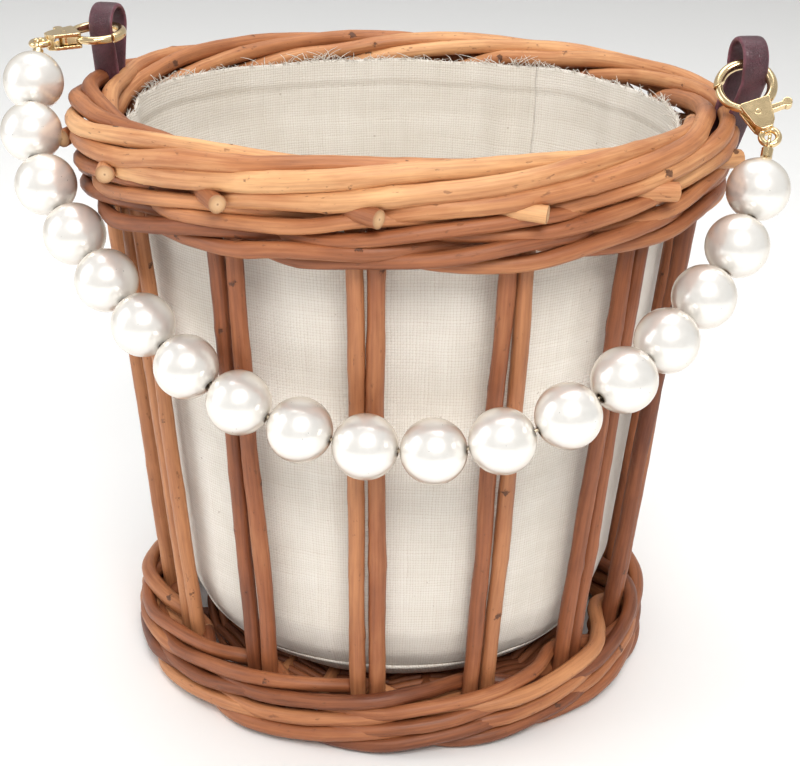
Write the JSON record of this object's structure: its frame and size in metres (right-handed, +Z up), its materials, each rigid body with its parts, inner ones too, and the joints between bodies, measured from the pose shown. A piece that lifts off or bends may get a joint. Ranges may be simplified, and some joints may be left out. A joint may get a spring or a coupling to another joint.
{
  "type": "flower girl basket",
  "caption": "Small round open-sided woven willow basket with a linen liner, leather loops at the rim and a swinging beaded handle on snap clasps.",
  "frame": {"origin": "centre of the face the basket stands on", "axes": "+Z up the basket's axis; +X towards the right leather loop; -Y is the front, where the beaded handle hangs"},
  "size_m": [0.1814, 0.1645, 0.1604],
  "materials": {
    "willow_base": "satin",
    "willow_wale": "satin",
    "willow_border": "satin",
    "willow_stake": "satin",
    "linen": "matte",
    "leather": "satin",
    "gold": "polished",
    "spring_steel": "satin",
    "wire": "satin",
    "pearl": "gloss"
  },
  "bodies": {
    "basket": {"base_sticks_lower": "willow_base", "base_sticks_upper": "willow_base", "base_weave": "willow_base", "bottom_waling": "willow_wale", "top_waling": "willow_wale", "rolled_border": "willow_border", "stake_pair_01": "willow_stake", "stake_pair_02": "willow_stake", "stake_pair_03": "willow_stake", "stake_pair_04": "willow_stake", "stake_pair_05": "willow_stake", "stake_pair_06": "willow_stake", "stake_pair_07": "willow_stake", "stake_pair_08": "willow_stake", "stake_pair_09": "willow_stake", "stake_pair_10": "willow_stake", "stake_pair_11": "willow_stake", "stake_pair_12": "willow_stake", "stake_pair_13": "willow_stake", "stake_pair_14": "willow_stake", "liner_side_panel": "linen", "liner_base_panel": "linen", "leather_loop_left": "leather", "leather_loop_right": "leather"},
    "handle": {"clasp_body_left": "gold", "clasp_body_right": "gold", "clasp_pin_left": "gold", "clasp_pin_right": "gold", "clasp_spring_left": "spring_steel", "clasp_spring_right": "spring_steel", "end_cap_left": "gold", "end_cap_right": "gold", "strand_wire": "wire", "pearl_01": "pearl", "pearl_02": "pearl", "pearl_03": "pearl", "pearl_04": "pearl", "pearl_05": "pearl", "pearl_06": "pearl", "pearl_07": "pearl", "pearl_08": "pearl", "pearl_09": "pearl", "pearl_10": "pearl", "pearl_11": "pearl", "pearl_12": "pearl", "pearl_13": "pearl", "pearl_14": "pearl", "pearl_15": "pearl", "pearl_16": "pearl", "pearl_17": "pearl", "pearl_18": "pearl"},
    "lever_left": {"clasp_lever_left": "gold"},
    "lever_right": {"clasp_lever_right": "gold"}
  },
  "joints": [
    {"name": "handle_swing", "type": "hinge", "parent": "basket", "child": "handle", "pos_m": [0, 0, 0.155], "axis": [-1, 0, 0], "range_deg": [0, 225]},
    {"name": "lever_left", "type": "hinge", "parent": "handle", "child": "lever_left", "pos_m": [-0.08033, -0.01276, 0.15321], "axis": [0, -0.1392, 0.9903], "range_deg": [0, 11], "stiffness_Nm_per_rad": 0.002, "springref_deg": -20.05},
    {"name": "lever_right", "type": "hinge", "parent": "handle", "child": "lever_right", "pos_m": [0.08303, -0.01036, 0.14464], "axis": [0, 0.7071, -0.7071], "range_deg": [0, 11], "stiffness_Nm_per_rad": 0.002, "springref_deg": -20.05}
  ]
}
